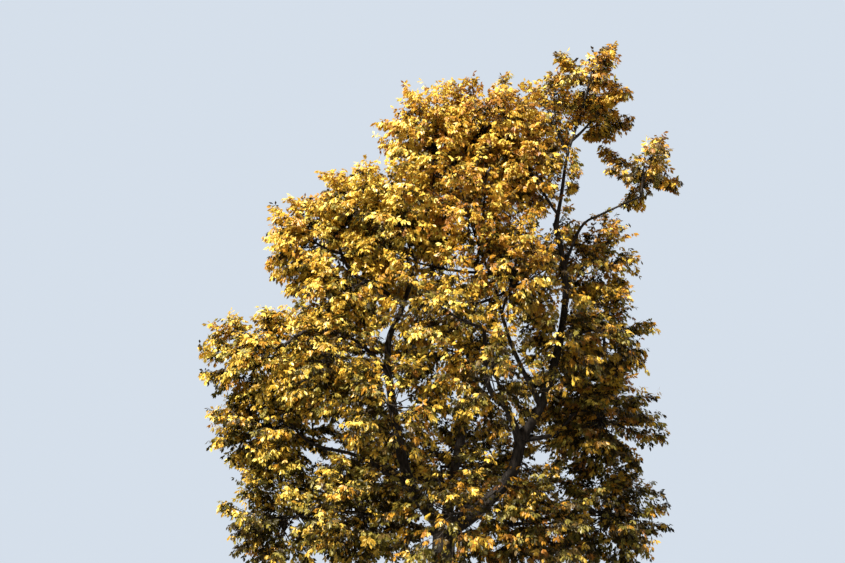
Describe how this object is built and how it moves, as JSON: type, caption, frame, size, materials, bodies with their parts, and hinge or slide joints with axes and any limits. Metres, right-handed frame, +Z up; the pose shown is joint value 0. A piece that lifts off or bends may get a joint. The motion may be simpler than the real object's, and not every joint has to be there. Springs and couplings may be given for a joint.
{
  "type": "pignut hickory tree",
  "caption": "Broad multi-stemmed hickory in golden autumn leaf, forked low, with an uneven crown that rises to a spire on one side.",
  "frame": {"origin": "middle of the flat cut under the trunk, at ground level", "axes": "+Z up, -Y towards the viewer of the front, +X to the right, towards the leader and the crown's spire"},
  "size_m": [13.6747, 10.9477, 16.5807],
  "materials": {
    "bark": "rough furrowed bark",
    "foliage": "matt autumn leaf"
  },
  "bodies": {
    "root": {"back_left_bough": "bark", "back_low_bough": "bark", "back_right_bough": "bark", "back_stem": "bark", "back_upper": "bark", "centre_limb": "bark", "front_bough": "bark", "front_low_bough": "bark", "front_middle_bough": "bark", "inner_limb": "bark", "leader": "bark", "leader_top": "bark", "left_bough": "bark", "left_shoulder": "bark", "left_stem": "bark", "left_upper": "bark", "low_left_bough": "bark", "low_right_bough": "bark", "low_right_limb": "bark", "lower_left_bough": "bark", "right_bough": "bark", "right_middle_bough": "bark", "right_stem": "bark", "trunk": "bark", "foliage_back_left": "foliage", "foliage_back_low_left": "foliage", "foliage_back_low_right": "foliage", "foliage_back_middle": "foliage", "foliage_back_right": "foliage", "foliage_back_upper_left": "foliage", "foliage_back_upper_right": "foliage", "foliage_centre_front": "foliage", "foliage_crown_top": "foliage", "foliage_dome_back": "foliage", "foliage_dome_left": "foliage", "foliage_dome_middle": "foliage", "foliage_front_left": "foliage", "foliage_front_middle": "foliage", "foliage_heart_front": "foliage", "foliage_inner_right": "foliage", "foliage_leader_inner": "foliage", "foliage_leader_right": "foliage", "foliage_left_lobe": "foliage", "foliage_left_low": "foliage", "foliage_left_middle": "foliage", "foliage_low_front": "foliage", "foliage_low_front_left": "foliage", "foliage_low_front_right": "foliage", "foliage_low_left_tip": "foliage", "foliage_low_right_tip": "foliage", "foliage_right_low": "foliage", "foliage_right_middle": "foliage", "foliage_right_tip": "foliage", "foliage_shoulder_high": "foliage", "foliage_shoulder_left": "foliage", "foliage_shoulder_low": "foliage", "foliage_top_left": "foliage", "foliage_top_right": "foliage", "foliage_upper_left": "foliage", "foliage_upper_middle": "foliage"}
  },
  "joints": []
}
